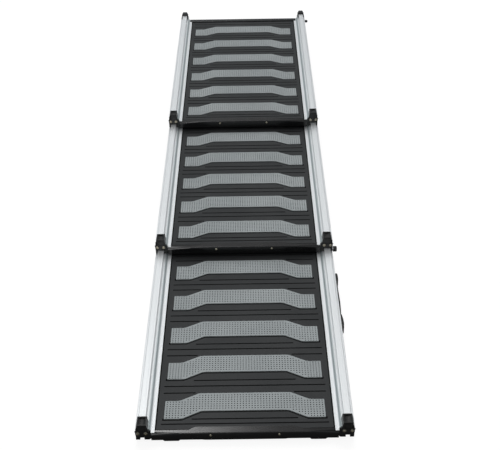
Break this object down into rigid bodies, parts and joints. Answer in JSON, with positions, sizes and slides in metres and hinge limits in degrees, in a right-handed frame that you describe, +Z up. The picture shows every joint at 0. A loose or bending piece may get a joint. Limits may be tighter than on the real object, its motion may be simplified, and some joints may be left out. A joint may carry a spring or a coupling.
{
  "type": "dog ramp",
  "caption": "Three-section telescoping pet ramp with aluminium rails, moulded decks, traction pads, slider blocks and a pull lock.",
  "frame": {"origin": "on the ground below the middle of the fully extended ramp, at the bottom centre of its box", "axes": "+Y up along the ramp from its low end to its high end, +X to the right of someone walking up it, +Z up"},
  "size_m": [0.4395, 1.7798, 0.101],
  "materials": {
    "anodised_aluminium": "satin anodised extrusion",
    "deck_plastic": "fine-textured charcoal moulding",
    "traction_rubber": "grey, perforated with small round holes",
    "block_plastic": "black moulding with a slight sheen",
    "bar_plastic": "smooth glossy black moulding",
    "zinc_screws": "pale yellow zinc",
    "foot_rubber": "matt black",
    "strap_rubber": "dark grey, flexible",
    "bright_steel": "turned steel",
    "spring_steel": "drawn wire"
  },
  "bodies": {
    "lower_section": {"lower_rail_left": "anodised_aluminium", "lower_rail_right": "anodised_aluminium", "lower_deck": "deck_plastic", "lower_traction_pads": "traction_rubber", "lower_toe_bar": "bar_plastic", "lower_head_bar": "bar_plastic", "lower_slider_block_left": "block_plastic", "lower_slider_block_right": "block_plastic", "lower_block_screws": "zinc_screws", "lower_toe_bar_screws": "zinc_screws", "lower_head_bar_screws": "zinc_screws", "lower_rail_cap_left": "block_plastic", "lower_rail_cap_right": "block_plastic", "lower_feet": "foot_rubber", "handle_end_caps": "block_plastic", "handle_strap": "strap_rubber", "handle_screws": "zinc_screws"},
    "middle_section": {"middle_rail_left": "anodised_aluminium", "middle_rail_right": "anodised_aluminium", "middle_deck": "deck_plastic", "middle_traction_pads": "traction_rubber", "middle_toe_bar": "bar_plastic", "middle_head_bar": "bar_plastic", "middle_slider_block_left": "block_plastic", "middle_slider_block_right": "block_plastic", "middle_block_screws": "zinc_screws", "middle_toe_bar_screws": "zinc_screws", "middle_head_bar_screws": "zinc_screws", "middle_rail_cap_left": "block_plastic", "middle_rail_cap_right": "block_plastic", "middle_travel_stops": "block_plastic", "lock_bush": "bright_steel", "lock_spring": "spring_steel"},
    "upper_section": {"upper_rail_left": "anodised_aluminium", "upper_rail_right": "anodised_aluminium", "upper_deck": "deck_plastic", "upper_traction_pads": "traction_rubber", "upper_toe_bar": "bar_plastic", "upper_head_bar": "bar_plastic", "upper_slider_block_left": "block_plastic", "upper_slider_block_right": "block_plastic", "upper_block_screws": "zinc_screws", "upper_toe_bar_screws": "zinc_screws", "upper_head_bar_screws": "zinc_screws", "upper_rail_cap_left": "block_plastic", "upper_rail_cap_right": "block_plastic", "upper_travel_stops": "block_plastic", "upper_rest_pads": "foot_rubber", "tether_peg": "block_plastic"},
    "lock_plunger": {"lock_pin": "bright_steel", "lock_knob": "block_plastic"}
  },
  "joints": [
    {"name": "middle_slide", "type": "slide", "parent": "lower_section", "child": "middle_section", "axis": [0, -1, 0], "range_m": [0, 0.5142]},
    {"name": "upper_slide", "type": "slide", "parent": "middle_section", "child": "upper_section", "axis": [0, -1, 0], "range_m": [0, 0.5142]},
    {"name": "lock_plunge", "type": "slide", "parent": "middle_section", "child": "lock_plunger", "axis": [1, 0, 0], "range_m": [-0.0018, 0.0015], "stiffness_N_per_m": 1200, "deforming": ["lock_spring"]}
  ]
}
